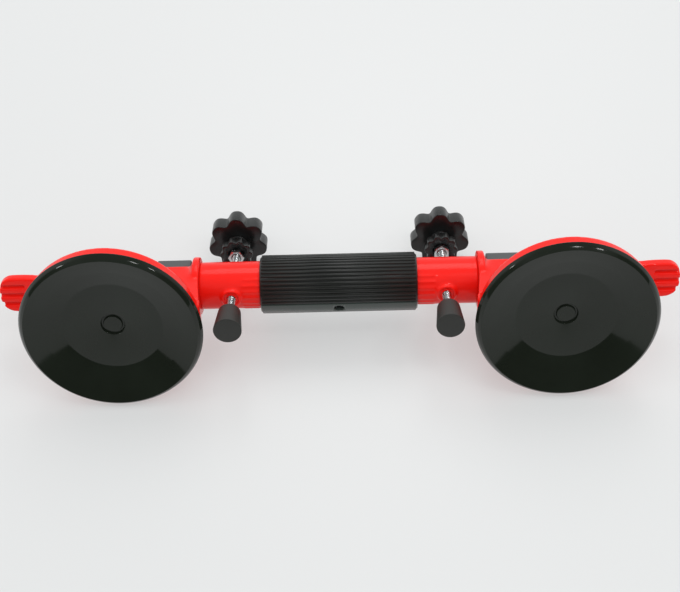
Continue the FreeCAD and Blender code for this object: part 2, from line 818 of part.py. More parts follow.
def grip_sleeve(label):
    """Fluted grip with a smooth strip along it, and the tommy-bar hole in the strip's middle."""
    count = int(float(s.grip_flute_count))
    strip = math.radians(float(s.grip_strip_angle))
    pitch = (2 * math.pi - strip) / count
    crest = float(s.grip_radius)
    root = crest - float(s.grip_flute_depth)
    strip_middle = math.radians(float(s.hole_turn_angle)) - math.pi / 2

    def rim_point(radius, turn):
        return Vector(0, radius * math.cos(turn), radius * math.sin(turn))

    corners = []
    start = strip_middle + strip / 2
    for index in range(count):
        turn = start + index * pitch
        for share, radius in ((0.08, crest), (0.38, root), (0.62, root), (0.92, crest)):
            corners.append(rim_point(radius, turn + share * pitch))
    last = corners[-1]
    edges = Part.makePolygon(corners).Edges
    middle = rim_point(crest, strip_middle)
    edges.append(Part.Arc(last, middle, corners[0]).toShape())
    profile = Part.Face(Part.Wire(edges))
    half = float(grip_half)
    profile.translate(Vector(-half, 0, 0))
    solid = profile.extrude(Vector(2 * half, 0, 0))
    chamfer = float(s.grip_chamfer)
    for side in (-1, 1):
        tip = crest - chamfer
        outside = Part.makeCylinder(crest + 1, chamfer, Vector(side * half, 0, 0), X * -side)
        cone = Part.makeCone(tip, crest, chamfer, Vector(side * half, 0, 0), X * -side)
        solid = solid.cut(outside.cut(cone))
    bore = Part.makeCylinder(float(grip_bore), 2 * half + 2, Vector(-half - 1, 0, 0), X)
    hole = Part.makeCylinder(float(s.hole_radius), crest + 1, Vector(0, 0, 0),
                             rim_point(1, strip_middle))
    item = doc.addObject("Part::Feature", label)
    item.Shape = solid.cut(bore).cut(hole)
    item.Label = label
    return piece(item)


def spindle(label):
    """Hollow turnbuckle spindle: right and left hand ends, flange in the grip, hole for the bar."""
    body = new_body(label)
    sketch = new_sketch(body, "XZ_Plane")
    half = s.spindle_half_length
    flange = s.spindle_flange_half_width
    bore = s.guide_radius + s.running_gap
    outline(sketch, [
        (-half, bore), (half, bore), (half, s.spindle_radius), (flange, s.spindle_radius),
        (flange, grip_bore - s.fixed_gap), (-flange, grip_bore - s.fixed_gap),
        (-flange, s.spindle_radius), (-half, s.spindle_radius),
    ])
    revolution(body, sketch, "H_Axis")
    hole = new_sketch(body, "XY_Plane", s.hole_bottom_radius)
    circle(hole, 0, 0, s.hole_radius)
    pocket(body, hole, s.grip_radius, reverse=True)
    return body


def guide_bar(label):
    """Round bar through the spindle, flattened to a square at both ends."""
    half = s.guide_half_length
    rod = cylinder(label + "_rod", s.guide_radius, half * 2, (-half, 0, 0), X)
    item = rod
    width = s.guide_flat_width
    flat_length = half - s.guide_flat_start
    for side, start in (("left", -half), ("right", s.guide_flat_start)):
        blank = box("%s_%s_blank" % (label, side), flat_length, s.guide_radius * 3,
                    s.guide_radius * 3,
                    (start, -(s.guide_radius * 1.5), -(s.guide_radius * 1.5)))
        square = box("%s_%s_square" % (label, side), flat_length * 3, width, width,
                     (start - flat_length, -(width / 2), -(width / 2)))
        waste = cut("%s_%s_waste" % (label, side), blank, square)
        item = cut("%s_%s_end" % (label, side), item, waste)
    for side in (-1, 1):
        start = s.spindle_half_length + s.ring_gap
        if side < 0:
            start = -(start + s.ring_thickness)
        name = "%s_groove_%s" % (label, "left" if side < 0 else "right")
        outer = cylinder(name + "_outer", s.guide_radius * 2, s.ring_thickness, (start, 0, 0), X)
        inner = cylinder(name + "_inner", s.guide_radius - s.mark_depth, s.ring_thickness * 3,
                         (start - s.ring_thickness, 0, 0), X)
        waste = cut(name + "_waste", outer, inner)
        item = cut(name, item, waste)
    item.Label = label
    return piece(item)


def guide_rings(label):
    """Two retaining rings in the bar's grooves, one at each end of the spindle."""
    rings = []
    for side in (-1, 1):
        start = s.spindle_half_length + s.ring_gap
        if side < 0:
            start = -(start + s.ring_thickness)
        name = "%s_%s" % (label, "left" if side < 0 else "right")
        outer = cylinder(name + "_outer", s.ring_radius, s.ring_thickness, (start, 0, 0), X)
        inner = cylinder(name + "_inner", s.guide_radius - s.mark_depth + s.fixed_gap,
                         s.ring_thickness * 3, (start - s.ring_thickness, 0, 0), X)
        rings.append(cut(name, outer, inner))
    return piece(fuse(label, *rings))


# How the tool lies: the line that touches the cup rims and the star knobs is the ground.
lobe_reach = float(s.knob_radius) * math.cos(math.pi / float(s.knob_lobe_count))
ground_run = float(knob_back_height - s.rim_top)
ground_drop = float(rim_radius) - lobe_reach
lean = math.atan2(ground_drop, ground_run)
rim_reach = float(rim_radius) * math.cos(lean) + float(s.rim_top) * math.sin(lean)
turn_to_rest = Rotation(X, -(90 + math.degrees(lean)))


def rest(point, side=1, turn=0):
    """Placement of a half's piece: its own place, then its side, then the lean."""
    own = Placement(Vector(*[float(value) for value in point]), Rotation(Z, turn))
    half = Placement(Vector(), Rotation(Z, 0 if side > 0 else 180))
    return Placement(Vector(), turn_to_rest).multiply(half).multiply(own)


def put(item, placement):
    item.Placement = placement.multiply(item.Placement)


cup_centre = (cup_x, 0, 0)
pin_centre = (cup_x, 0, lever_rest_height)
tool_origin = (0, 0, 0)
bar_centre = (0, 0, s.bar_height)
screw_centre = (s.screw_x, 0, 0)

for side, hand in ((-1, "left"), (1, "right")):
    at_cup = rest(cup_centre, side)
    for build, name in ((cup_housing, "cup_housing"), (suction_disc, "suction_disc"),
                        (disc_plate, "disc_plate"), (pull_stud, "pull_stud"),
                        (wear_plate, "wear_plate"), (neck_pad, "neck_pad")):
        put(build("%s_%s" % (hand, name)), at_cup)
    for build, name in ((lever, "lever"), (lever_pin, "lever_pin")):
        put(build("%s_%s" % (hand, name)), rest(pin_centre, side))
    at_half = rest(tool_origin, side)
    for build, name in ((handle_tube, "handle_tube"), (guide_plug, "guide_plug"),
                        (cross_bush, "cross_bush")):
        put(build("%s_%s" % (hand, name)), at_half)
    bush = ring_piece(hand + "_thread_bush", s.tube_bore - s.fixed_gap,
                      s.spindle_radius + s.running_gap, s.tube_inner_end, s.thread_bush_length)
    put(bush, at_half)
    at_screw = rest(screw_centre, side)
    for build, name in ((foot, "foot"), (foot_socket, "foot_socket"), (level_screw, "level_screw"),
                        (knob_insert, "knob_insert")):
        put(build("%s_%s" % (hand, name)), at_screw)
    # A lobe of each knob points up as the tool lies, so it rests on the two lobes below.
    put(star_knob(hand + "_star_knob"), rest(screw_centre, side, 180 if side < 0 else 0))
    # The left nut stopped corner up, the right one flat up.
    at_lock = rest(screw_centre, side, half_a_nut_flat if side < 0 else 0)
    put(lock_wheel(hand + "_lock_wheel"), at_lock)
    put(lock_nut(hand + "_lock_nut"), at_lock)

at_bar = rest(bar_centre)
put(grip_sleeve("grip_sleeve"), at_bar)
hole_direction = Rotation(X, 180 + float(s.hole_turn_angle))
put(spindle("spindle"), at_bar.multiply(Placement(Vector(), hole_direction)))
put(guide_bar("guide_bar"), at_bar)
put(guide_rings("guide_rings"), at_bar)

doc.recompute()

# Raise everything so that the lowest point of the tool is at height zero.
boxes = [item.Shape.optimalBoundingBox(False, False) for item in PIECES]
lowest = min(extent.ZMin for extent in boxes)
middle = (min(extent.YMin for extent in boxes) + max(extent.YMax for extent in boxes)) / 2
settle = Placement(Vector(0, -middle, -lowest), Rotation())
for item in PIECES:
    put(item, settle)
doc.recompute()

for item in doc.Objects:
    if "Invalid" in item.State or "Error" in item.State:
        raise RuntimeError("%s did not build: %s" % (item.Label, item.State))
for item in PIECES:
    if item.Shape.isNull() or not item.Shape.isValid():
        raise RuntimeError("%s has no valid shape" % item.Label)

os.makedirs("parts", exist_ok=True)
for item in PIECES:
    item.Shape.exportStep("parts/%s.step" % item.Label)
    volume = item.Shape.Volume
    print("%-20s %2d solid(s) %10.1f mm3" % (item.Label, len(item.Shape.Solids), volume))
print("lean %.3f degrees, %d pieces" % (math.degrees(lean), len(PIECES)))
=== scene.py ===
import json
import math

import bmesh
import bpy
import numpy as np
from mathutils import Matrix, Vector


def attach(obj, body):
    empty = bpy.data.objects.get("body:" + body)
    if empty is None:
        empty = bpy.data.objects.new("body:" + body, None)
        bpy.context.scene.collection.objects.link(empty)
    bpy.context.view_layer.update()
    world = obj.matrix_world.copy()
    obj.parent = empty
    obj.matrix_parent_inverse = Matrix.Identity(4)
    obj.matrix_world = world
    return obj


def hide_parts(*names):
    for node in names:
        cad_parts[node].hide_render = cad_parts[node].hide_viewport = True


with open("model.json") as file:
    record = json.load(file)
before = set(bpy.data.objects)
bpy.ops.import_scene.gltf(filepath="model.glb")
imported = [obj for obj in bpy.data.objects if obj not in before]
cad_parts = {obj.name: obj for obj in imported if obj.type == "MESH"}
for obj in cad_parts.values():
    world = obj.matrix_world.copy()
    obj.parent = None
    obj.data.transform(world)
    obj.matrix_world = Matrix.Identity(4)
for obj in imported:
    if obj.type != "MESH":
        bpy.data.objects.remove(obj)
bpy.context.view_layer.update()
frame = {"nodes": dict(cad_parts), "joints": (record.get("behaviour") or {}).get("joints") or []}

# ---------------------------------------------------------------------------
# Table top and studio. The tool lies on a sheet of white laminate under a wide
# ceiling of light, and the room in front of the table is dark, which is what
# the polished discs mirror in their lower halves.
# ---------------------------------------------------------------------------


def linear(hex_colour):
    """An sRGB hex colour as the linear RGBA that Blender's sockets take."""
    parts = [int(hex_colour[i:i + 2], 16) / 255 for i in (0, 2, 4)]
    return tuple(c / 12.92 if c <= 0.04045 else ((c + 0.055) / 1.055) ** 2.4 for c in parts) + (1,)


def add_node(tree, kind, settings=None, links=None):
    """Adds a node, gives its properties and inputs their values, and links its inputs.

    An input goes by its label, or by its number where labels repeat: a colour Mix has its factor
    at 0 and its two colours at 6 and 7, and gives its result at output 2.
    """
    node = tree.nodes.new(kind)
    for key, value in (settings or {}).items():
        if isinstance(key, int) or key in node.inputs:
            node.inputs[key].default_value = value
        else:
            setattr(node, key, value)
    for key, source in (links or {}).items():
        tree.links.new(source, node.inputs[key])
    return node


def new_material(name, **sockets):
    """A node material with its output and one surface shader, whose plain inputs are set here."""
    material = bpy.data.materials.new(name)
    material.use_nodes = True
    tree = material.node_tree
    tree.nodes.clear()
    shader = add_node(tree, "ShaderNodeBsdfPrincipled",
                      {key.replace("_", " "): value for key, value in sockets.items()})
    add_node(tree, "ShaderNodeOutputMaterial", {}, {"Surface": shader.outputs[0]})
    return material, tree, shader


# The camera looks down on the table from the front, at arm's length.
camera_place = (0.012437, -0.505974, 0.728429)
camera_right = Vector((0.999628, -0.010966, -0.02499))
camera_up = Vector((0.023507, 0.81115, 0.584365))
camera_data = bpy.data.cameras.new("studio_camera")
camera_data.sensor_width = 36.0
camera_data.lens = 66.2
camera_data.clip_start = 0.01
camera = bpy.data.objects.new("studio_camera", camera_data)
camera_turn = Matrix((camera_right, camera_up, camera_right.cross(camera_up))).transposed()
camera.matrix_world = Matrix.Translation(camera_place) @ camera_turn.to_4x4()
bpy.context.scene.collection.objects.link(camera)
bpy.context.scene.camera = camera

table_reach = 30.0
table_mesh = bpy.data.meshes.new("table_top")
table_mesh.from_pydata([(-table_reach, -table_reach, 0), (table_reach, -table_reach, 0),
                        (table_reach, table_reach, 0), (-table_reach, table_reach, 0)],
                       [], [(0, 1, 2, 3)])
table = bpy.data.objects.new("table_top", table_mesh)
bpy.context.scene.collection.objects.link(table)
# Satin melamine laminate, lit from below as a light table is, which keeps the shadow faint.
laminate = new_material("white_laminate", Base_Color=linear("8E9090"), Roughness=0.42,
                        Emission_Color=linear("E6E6E6"), Emission_Strength=0.5)[0]
table_mesh.materials.append(laminate)

# The room lights the tool evenly from above. What the gloss mirrors of it is a pale
# backdrop behind the table, a dim ceiling, and a dark room in front.
world = bpy.data.worlds.new("studio_room")
bpy.context.scene.world = world
world.use_nodes = True
tree = world.node_tree
tree.nodes.clear()
where = add_node(tree, "ShaderNodeTexCoord")
split = add_node(tree, "ShaderNodeSeparateXYZ", {}, {0: where.outputs["Generated"]})
# Heights run from 0 at the horizon to 1 straight up, and depths from 1 behind to -1 in front.
ceiling_edge, ceiling_middle = 0.6, 0.9
room_back, room_front = 0.15, -0.15
light_strength, mirrored_strength = 1.5, 0.95
overhead = add_node(tree, "ShaderNodeMapRange",
                    {"From Min": ceiling_edge, "From Max": ceiling_middle},
                    {"Value": split.outputs["Z"]})
behind = add_node(tree, "ShaderNodeMix",
                  {"data_type": "RGBA", 6: linear("E6EAEA"), 7: linear("606466")},
                  {0: overhead.outputs[0]})
front = add_node(tree, "ShaderNodeMapRange", {"From Min": room_back, "From Max": room_front},
                 {"Value": split.outputs["Y"]})
below = add_node(tree, "ShaderNodeMath", {"operation": "SUBTRACT", 0: 1.0},
                 {1: overhead.outputs[0]})
dark = add_node(tree, "ShaderNodeMath", {"operation": "MULTIPLY"},
                {0: front.outputs[0], 1: below.outputs[0]})
mirrored = add_node(tree, "ShaderNodeMix", {"data_type": "RGBA", 7: linear("10100F")},
                    {0: dark.outputs[0], 6: behind.outputs[2]})
rise = add_node(tree, "ShaderNodeMapRange", {"From Min": 0.0, "From Max": ceiling_middle},
                {"Value": split.outputs["Z"]})
lighting = add_node(tree, "ShaderNodeMix",
                    {"data_type": "RGBA", 6: linear("A4A6A6"), 7: linear("FFFFFF")},
                    {0: rise.outputs[0]})
path = add_node(tree, "ShaderNodeLightPath")
seen = add_node(tree, "ShaderNodeMix", {"data_type": "RGBA"},
                {0: path.outputs["Is Glossy Ray"], 6: lighting.outputs[2],
                 7: mirrored.outputs[2]})
strength = add_node(tree, "ShaderNodeMapRange",
                    {"To Min": light_strength, "To Max": mirrored_strength},
                    {"Value": path.outputs["Is Glossy Ray"]})
glow = add_node(tree, "ShaderNodeBackground", {},
                {"Color": seen.outputs[2], "Strength": strength.outputs[0]})
add_node(tree, "ShaderNodeOutputWorld", {}, {"Surface": glow.outputs[0]})

# A broad weak lamp over the back of the table, and three small ones that leave the narrow
# streaks on the discs' bevels: each has its place, its side in metres and its watts.
for name, place, side, watts in (("back_panel", (0.1, 0.9, 1.3), 0.8, 5.0),
                                 ("spot_near", (0.45, -0.3, 1.6), 0.19, 1.8),
                                 ("spot_right", (1.12, -0.35, 1.6), 0.19, 2.2),
                                 ("spot_left", (-1.94, -0.27, 1.6), 0.24, 3.0)):
    data = bpy.data.lights.new(name, "AREA")
    data.size = side
    data.energy = watts
    lamp = bpy.data.objects.new(name, data)
    lamp.location = place
    lamp.rotation_euler = (-Vector(place)).to_track_quat("-Z", "Y").to_euler()
    bpy.context.scene.collection.objects.link(lamp)

bpy.context.scene.view_settings.view_transform = "Standard"

# ---------------------------------------------------------------------------
# Cup housings. Die-cast aluminium, rim, dome, channelled block and collar in
# one casting, with the soft inner corners that castings have, sprayed with a
# thick red gloss enamel.
# ---------------------------------------------------------------------------
hands = ("left", "right")
joints = {joint["name"]: joint for joint in frame["joints"]}
tool_back = -Vector(joints["left_piston_stroke"]["axis"]).normalized()
bar_centre = Vector(joints["grip_turn"]["pos_m"])
bar_height = 0.055
cup_offset = 0.1485


def tool_frame(hand):
    """The frame of one half: X outward along the handle, Z from the suction plane to the back."""
    side = 1 if hand == "right" else -1
    outward = Vector((side, 0, 0))
    across = tool_back.cross(outward)
    turn = Matrix((outward, across, tool_back)).transposed().to_4x4()
    return Matrix.Translation(bar_centre - tool_back * bar_height) @ turn


def piece_from(name, mesh, material, body, node):
    """A finished piece: its mesh in place, its material, its body, and the node it stands for."""
    piece = bpy.data.objects.new(name, mesh)
    bpy.context.scene.collection.objects.link(piece)
    mesh.materials.clear()
    mesh.materials.append(material)
    for polygon in mesh.polygons:
        polygon.use_smooth = True
    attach(piece, body)
    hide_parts(node)
    return piece


def neighbour_means(points, edges, counts):
    """The mean of each point's neighbours."""
    total = np.empty_like(points)
    for axis in range(3):
        total[:, axis] = (np.bincount(edges[:, 0], points[edges[:, 1], axis], len(points))
                          + np.bincount(edges[:, 1], points[edges[:, 0], axis], len(points)))
    return total / counts[:, None]


def merge_points(mesh, reach):
    """Merges the points of a mesh that lie within reach, in metres."""
    shell = bmesh.new()
    shell.from_mesh(mesh)
    bmesh.ops.remove_doubles(shell, verts=shell.verts, dist=reach)
    shell.to_mesh(mesh)
    shell.free()


def finished_mesh(blank):
    """The plain mesh of an object after its modifiers."""
    depsgraph = bpy.context.evaluated_depsgraph_get()
    return bpy.data.meshes.new_from_object(blank.evaluated_get(depsgraph))


def cast_mesh(name, node, matrix, grain, edge_rounds, corner_rounds=0, may_fill_at=None):
    """A node's solid with its edges rounded and its inner corners filled, as a casting has them.

    grain is the size of its faces in metres; each round softens the edges by about a third of it.
    may_fill_at tells which points may fill, and all may where it isn't given. The rounds work in
    the frame that the matrix gives.
    """
    edge_pull, fill_pull, flat_share, rounds_per_normal = 0.5, 0.6, 0.004, 5
    source = frame["nodes"][node].data.copy()
    source.transform(matrix.inverted())
    merge_points(source, 1e-6)
    blank = bpy.data.objects.new(name + "_blank", source)
    bpy.context.scene.collection.objects.link(blank)
    remesh = blank.modifiers.new("grain", "REMESH")
    remesh.mode = "VOXEL"
    remesh.voxel_size = grain
    mesh = finished_mesh(blank)
    bpy.data.objects.remove(blank)
    mesh.name = name
    count = len(mesh.vertices)
    points = np.empty(count * 3)
    mesh.vertices.foreach_get("co", points)
    points = points.reshape(-1, 3)
    edges = np.empty(len(mesh.edges) * 2, dtype=np.int32)
    mesh.edges.foreach_get("vertices", edges)
    edges = edges.reshape(-1, 2)
    counts = np.maximum(np.bincount(edges.ravel(), minlength=count), 1)
    for _ in range(edge_rounds):
        points += edge_pull * (neighbour_means(points, edges, counts) - points)
    may_fill = may_fill_at(points) if may_fill_at else np.ones(count, bool)
    for step in range(corner_rounds):
        if step % rounds_per_normal == 0:
            mesh.vertices.foreach_set("co", points.ravel())
            mesh.update()
            normals = np.empty(count * 3)
            mesh.vertices.foreach_get("normal", normals)
            normals = normals.reshape(-1, 3)
        drift = neighbour_means(points, edges, counts) - points
        hollow = (drift * normals).sum(1) > grain * flat_share
        points += fill_pull * drift * (hollow & may_fill)[:, None]
    mesh.vertices.foreach_set("co", points.ravel())
    mesh.transform(matrix)
    mesh.update()
    return mesh


# Powder enamel: a saturated red film about 0.1 mm thick. Its colour drifts a little over 35 mm,
# its orange peel is 2.4 mm wide, and the cast skin under it swells over 11 mm.
drift_width, peel_width, swell_width, film_relief = 0.035, 0.0024, 0.011, 0.0002
red_enamel, tree, shader = new_material("red_gloss_enamel", Roughness=0.3, IOR=1.52,
                                        Specular_IOR_Level=0.12, Coat_Weight=0.25,
                                        Coat_Roughness=0.06)
place = add_node(tree, "ShaderNodeTexCoord")
patches = add_node(tree, "ShaderNodeTexNoise", {"Scale": 1 / drift_width, "Detail": 3.0},
                   {"Vector": place.outputs["Object"]})
tone = add_node(tree, "ShaderNodeMix",
                {"data_type": "RGBA", 6: linear("DA140C"), 7: linear("E61A10")},
                {0: patches.outputs["Fac"]})
tree.links.new(tone.outputs[2], shader.inputs["Base Color"])
peel = add_node(tree, "ShaderNodeTexNoise", {"Scale": 1 / peel_width, "Detail": 2.0},
                {"Vector": place.outputs["Object"]})
swell = add_node(tree, "ShaderNodeTexNoise", {"Scale": 1 / swell_width, "Detail": 1.0},
                 {"Vector": place.outputs["Object"]})
height = add_node(tree, "ShaderNodeMath", {"operation": "MULTIPLY_ADD", 1: 4.0},
                  {0: swell.outputs["Fac"], 2: peel.outputs["Fac"]})
skin = add_node(tree, "ShaderNodeBump", {"Strength": 0.12, "Distance": film_relief},
                {"Height": height.outputs[0]})
tree.links.new(skin.outputs[0], shader.inputs["Normal"])
tree.links.new(skin.outputs[0], shader.inputs["Coat Normal"])


# Where a housing's inner corners fill: outside the channel's walls or at the collar, above the
# underside, off the bar's bore, and up to the casting's outer end.
channel_half, collar_inner, collar_outer = 0.0128, 0.0935, 0.0975
underside_top, bore_reach, casting_end = 0.0085, 0.0125, 0.2085


def outside_channel(points):
    """The casting's outer corners: not the channel, the bores or the underside."""
    beside = np.abs(points[:, 1]) > channel_half
    at_collar = (points[:, 0] > collar_inner) & (points[:, 0] < collar_outer)
    above = points[:, 2] > underside_top
    off_bore = np.hypot(points[:, 1], points[:, 2] - bar_height) > bore_reach
    return (beside | at_collar) & above & off_bore & (points[:, 0] < casting_end)


# The rim carries a flat bead. It starts at a distance from the cup's centre and fades into the
# dome's foot; it rises with the height over the rim's lower edge.
bead_out, bead_up = 0.0005, 0.0006
bead_start, bead_run = 0.046, 0.008
dome_foot, dome_fade = 0.019, 0.004
rim_low, rim_band = 0.006, 0.007


def bead_rim(mesh, matrix):
    """Swells the rim of a housing outward and upward into its bead."""
    back = matrix.inverted()
    for vertex in mesh.vertices:
        local = back @ vertex.co
        spoke = Vector((local.x - cup_offset, local.y, 0))
        share = (min(1.0, max(0.0, (spoke.length - bead_start) / bead_run))
                 * min(1.0, max(0.0, (dome_foot - local.z) / dome_fade)))
        rise = Vector((0, 0, bead_up)) * max(0.0, local.z - rim_low) / rim_band
        vertex.co = matrix @ (local + (spoke.normalized() * bead_out + rise) * share)


for hand in hands:
    node = hand + "_cup_housing"
    mesh = cast_mesh(node + "_casting", node, tool_frame(hand), grain=0.0008, edge_rounds=3,
                     corner_rounds=60, may_fill_at=outside_channel)
    bead_rim(mesh, tool_frame(hand))
    piece_from(node + "_casting", mesh, red_enamel, hand + "_half", node)

# ---------------------------------------------------------------------------
# Handle tubes. Drawn steel tube with the two screw bosses pressed out and
# seven short guide ribs under the grip's end, in the same enamel. The bush
# that the screw turns in is painted over with them.
# ---------------------------------------------------------------------------


def dress(names, material):
    """Gives carried-over nodes their finish."""
    for name in names:
        node = frame["nodes"][name]
        node.data.materials.clear()
        node.data.materials.append(material)


tube_skin = 0.0157


def outside_tube(points):
    """The tube's outside, where its bosses and ribs run into it."""
    return np.hypot(points[:, 1], points[:, 2] - bar_height) > tube_skin


for hand in hands:
    node = hand + "_handle_tube"
    mesh = cast_mesh(node + "_drawn", node, tool_frame(hand), grain=0.0006, edge_rounds=2,
                     corner_rounds=12, may_fill_at=outside_tube)
    piece_from(node + "_drawn", mesh, red_enamel, hand + "_half", node)
    dress([hand + "_cross_bush"], red_enamel)

# ---------------------------------------------------------------------------
# Levers. Die-cast like the housings, in the same enamel; the tips are rounded
# and grooved for the fingers.
# ---------------------------------------------------------------------------
for hand in hands:
    node = hand + "_lever"
    mesh = cast_mesh(node + "_casting", node, tool_frame(hand), grain=0.0005, edge_rounds=14)
    piece_from(node + "_casting", mesh, red_enamel, hand + "_lever_arm", node)

# ---------------------------------------------------------------------------
# Suction discs. Compression-moulded rubber from a polished mould: a bevelled
# lip, a shallow dish inside it, and a ring of the pull plate's rivet showing
# at the middle.
# ---------------------------------------------------------------------------


def face_outward(mesh):
    """Turns the faces of a closed mesh outward."""
    shell = bmesh.new()
    shell.from_mesh(mesh)
    bmesh.ops.recalc_face_normals(shell, faces=shell.faces)
    shell.to_mesh(mesh)
    shell.free()


def turned_mesh(name, profile, matrix, segments):
    """A closed solid of revolution about Z.

    The profile's (radius, height) points start and end on the axis.
    """
    on_axis = 1e-9
    ring = [(r, z) for r, z in profile if r > on_axis]
    points = [(0, 0, profile[0][1])]
    for index in range(segments):
        angle = 2 * math.pi * index / segments
        points += [(r * math.cos(angle), r * math.sin(angle), z) for r, z in ring]
    points.append((0, 0, profile[-1][1]))
    last = len(points) - 1
    size = len(ring)
    faces = []
    for index in range(segments):
        here = 1 + index * size
        there = 1 + (index + 1) % segments * size
        faces.append((0, there, here))
        faces += [(here + k, there + k, there + k + 1, here + k + 1) for k in range(size - 1)]
        faces.append((last, here + size - 1, there + size - 1))
    mesh = bpy.data.meshes.new(name)
    mesh.from_pydata(points, [], faces)
    mesh.transform(matrix)
    face_outward(mesh)
    return mesh


def rounded(corners, radii):
    """A polyline with its corners rounded; corners are (radius, height), radii one for each."""
    share_of_side, steps = 0.49, 6
    result = []
    for index, (corner, radius) in enumerate(zip(corners, radii)):
        if radius == 0:
            result.append(corner)
            continue
        here = Vector(corner)
        before = Vector(corners[index - 1]) - here
        after = Vector(corners[index + 1]) - here
        half = before.angle(after) / 2
        run = min(radius / math.tan(half), before.length * share_of_side,
                  after.length * share_of_side)
        start, end = here + before.normalized() * run, here + after.normalized() * run
        for step in range(steps + 1):
            t = step / steps
            point = start * (1 - t) ** 2 + here * 2 * t * (1 - t) + end * t ** 2
            result.append((point.x, point.y))
    return result


# The disc's half section in millimetres, from the axis outward and back over its rear face.
mm = 0.001
rivet_groove = [(0, 12.2), (5.9, 12.1), (6.3, 13.5), (7.6, 13.5), (8.1, 11.9)]
dish_face = [(33.0, 9.5), (45.0, 4.9), (56.5, 0.0)]
lip_bevel = [(58.55, 1.9), (60.0, 4.3), (59.7, 4.9), (54.9, 5.2)]
rear_face = [(30.0, 17.0), (0, 17.0)]
disc_radii = [0, 0.3, 0.3, 0.3, 0.3] + [5.0, 20.0, 0.3] + [6.0, 0.4, 0.3, 0.4] + [0.5, 0]
disc_profile = [(r * mm, z * mm) for r, z in
                rounded(rivet_groove + dish_face + lip_bevel + rear_face, disc_radii)]

# Nitrile rubber off a polished mould: greenish black, with a mirror-like skin that a film of
# release oil dims in patches about 30 mm wide.
bloom_width = 0.03
disc_rubber, tree, shader = new_material("polished_nitrile_rubber", IOR=1.52,
                                         Specular_IOR_Level=0.3)
place = add_node(tree, "ShaderNodeTexCoord")
bloom = add_node(tree, "ShaderNodeTexNoise", {"Scale": 1 / bloom_width, "Detail": 4.0},
                 {"Vector": place.outputs["Object"]})
shade = add_node(tree, "ShaderNodeMix",
                 {"data_type": "RGBA", 6: linear("141712"), 7: linear("1C211B")},
                 {0: bloom.outputs["Fac"]})
tree.links.new(shade.outputs[2], shader.inputs["Base Color"])
gloss = add_node(tree, "ShaderNodeMapRange",
                 {"From Min": 0.3, "From Max": 0.7, "To Min": 0.05, "To Max": 0.11},
                 {"Value": bloom.outputs["Fac"]})
tree.links.new(gloss.outputs[0], shader.inputs["Roughness"])

for hand in hands:
    node = hand + "_suction_disc"
    centre = tool_frame(hand) @ Matrix.Translation((cup_offset, 0, 0))
    mesh = turned_mesh(node + "_moulding", disc_profile, centre, segments=160)
    piece_from(node + "_moulding", mesh, disc_rubber, hand + "_piston", node)

# ---------------------------------------------------------------------------
# Feet. Soft black rubber moulded over a steel socket, with the matt, faintly
# grainy skin of a sand-blasted mould and a flat tip.
# ---------------------------------------------------------------------------


def worn_finish(name, dark, light, rough, grain, relief, patch=0.02, **sockets):
    """A finish of two close tones in patches, with a fine grain; grain and patch in metres.

    rough is the pair of roughnesses between which the patches vary, relief the grain's depth.
    The real grain of these moulds and metals is 0.05 to 0.1 mm wide; it is drawn several times
    coarser so that it shows.
    """
    material, tree, shader = new_material(name, **sockets)
    place = add_node(tree, "ShaderNodeTexCoord")
    patches = add_node(tree, "ShaderNodeTexNoise", {"Scale": 1 / patch, "Detail": 4.0},
                       {"Vector": place.outputs["Object"]})
    tone = add_node(tree, "ShaderNodeMix", {"data_type": "RGBA", 6: linear(dark), 7: linear(light)},
                    {0: patches.outputs["Fac"]})
    tree.links.new(tone.outputs[2], shader.inputs["Base Color"])
    dull = add_node(tree, "ShaderNodeMapRange",
                    {"From Min": 0.3, "From Max": 0.7, "To Min": rough[0], "To Max": rough[1]},
                    {"Value": patches.outputs["Fac"]})
    tree.links.new(dull.outputs[0], shader.inputs["Roughness"])
    grains = add_node(tree, "ShaderNodeTexNoise", {"Scale": 1 / grain, "Detail": 3.0},
                      {"Vector": place.outputs["Object"]})
    skin = add_node(tree, "ShaderNodeBump", {"Strength": 0.35, "Distance": relief},
                    {"Height": grains.outputs["Fac"]})
    tree.links.new(skin.outputs[0], shader.inputs["Normal"])
    return material


# Chloroprene rubber, dull black with a dusty bloom.
foot_rubber = worn_finish("moulded_foot_rubber", "20211E", "2A2B28", rough=(0.5, 0.62),
                          grain=0.0006, relief=0.0001, IOR=1.5)
screw_offset = 0.0725
# The foot's half section in millimetres: flat tip, tapered side, soft shoulder, socket's hole.
foot_corners = [(0, 1.3), (9.4, 1.3), (7.6, 21.9), (5.2, 24.3), (4.43, 24.3), (4.43, 6.3),
                (0, 6.3)]
foot_radii = [0, 0.7, 2.6, 0.8, 0.2, 0, 0]
foot_profile = [(r * mm, z * mm) for r, z in rounded(foot_corners, foot_radii)]


def screw_frame(hand):
    """The frame of one levelling screw: Z along it, from the suction plane to the back."""
    return tool_frame(hand) @ Matrix.Translation((screw_offset, 0, 0))


for hand in hands:
    node = hand + "_foot"
    mesh = turned_mesh(node + "_moulding", foot_profile, screw_frame(hand), segments=96)
    piece_from(node + "_moulding", mesh, foot_rubber, hand + "_foot_slide", node)

# ---------------------------------------------------------------------------
# Grip. An extruded rubber sleeve over the turnbuckle: round ribs along it all
# the way round, but for the smooth strip where the tommy hole comes out.
# ---------------------------------------------------------------------------
# The tommy hole points forward and a little down as the tool lies.
along_bar = Vector((1, 0, 0))
hole_direction = Vector((0, -0.989106, -0.147205))
grip_turn = Matrix((along_bar, hole_direction, along_bar.cross(hole_direction))).transposed()
grip_frame = Matrix.Translation(bar_centre) @ grip_turn.to_4x4()
strip_angle = math.radians(32)
grip_half, grip_bore, grip_crest = 0.053, 0.0172, 0.0199
rib_width, rib_height, rib_count = 0.0011, 0.0007, 40
grip_chamfer = 0.0012
hole_radius = 0.00375

